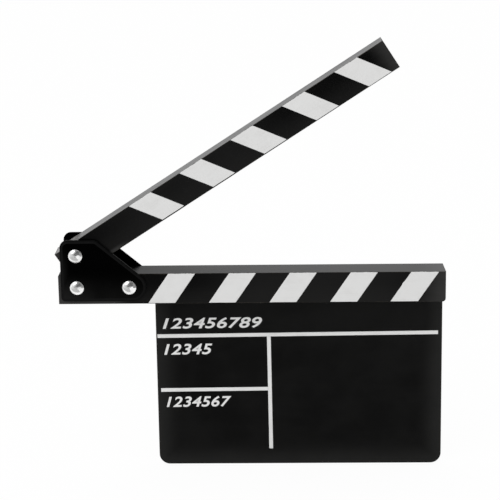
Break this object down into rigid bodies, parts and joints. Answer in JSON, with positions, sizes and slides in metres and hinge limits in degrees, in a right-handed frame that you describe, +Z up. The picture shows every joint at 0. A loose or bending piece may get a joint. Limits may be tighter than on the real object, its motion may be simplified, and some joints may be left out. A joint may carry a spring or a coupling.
{
  "type": "clapperboard",
  "caption": "Hand clapperboard: a black slate board hung from a striped stick, with a matching striped stick that swings open on a pivot between steel hinge plates.",
  "frame": {"origin": "the middle of the board's bottom edge, half way through the board's thickness", "axes": "+Z up the board, -Y out of its printed face, +X to the right as the face is read, away from the hinge"},
  "size_m": [0.1978, 0.0234, 0.2263],
  "materials": {
    "board_paint": "matte black chalkboard paint on fibreboard",
    "stick_paint": "satin black paint on planed wood",
    "plate_lacquer": "black lacquer on stamped steel",
    "washer_fibre": "dark fibre, matte",
    "bright_nickel": "polished nickel plate on steel",
    "zinc_steel": "zinc plated steel",
    "white_print": "matte white printed film"
  },
  "bodies": {
    "board_assembly": {"slate_board": "board_paint", "fixed_clapstick": "stick_paint", "front_hinge_plate": "plate_lacquer", "rear_hinge_plate": "plate_lacquer", "front_pivot_washer": "washer_fibre", "rear_pivot_washer": "washer_fibre", "pivot_post": "bright_nickel", "left_plate_post": "bright_nickel", "right_plate_post": "bright_nickel", "pivot_screw": "zinc_steel", "left_plate_screw": "zinc_steel", "right_plate_screw": "zinc_steel", "board_screw_1": "zinc_steel", "board_screw_2": "zinc_steel", "board_screw_3": "zinc_steel", "board_screw_4": "zinc_steel", "fixed_stripe_1": "white_print", "fixed_stripe_2": "white_print", "fixed_stripe_3": "white_print", "fixed_stripe_4": "white_print", "fixed_stripe_5": "white_print", "top_rule": "white_print", "column_rule": "white_print", "side_rule": "white_print"},
    "clapper": {"moving_clapstick": "stick_paint", "moving_stripe_1": "white_print", "moving_stripe_2": "white_print", "moving_stripe_3": "white_print", "moving_stripe_4": "white_print", "moving_stripe_5": "white_print"}
  },
  "joints": [
    {"name": "clap_hinge", "type": "hinge", "parent": "board_assembly", "child": "clapper", "pos_m": [-0.11235, -0.01, 0.11905], "axis": [0, -1, 0], "range_deg": [-32.9, 65]}
  ]
}
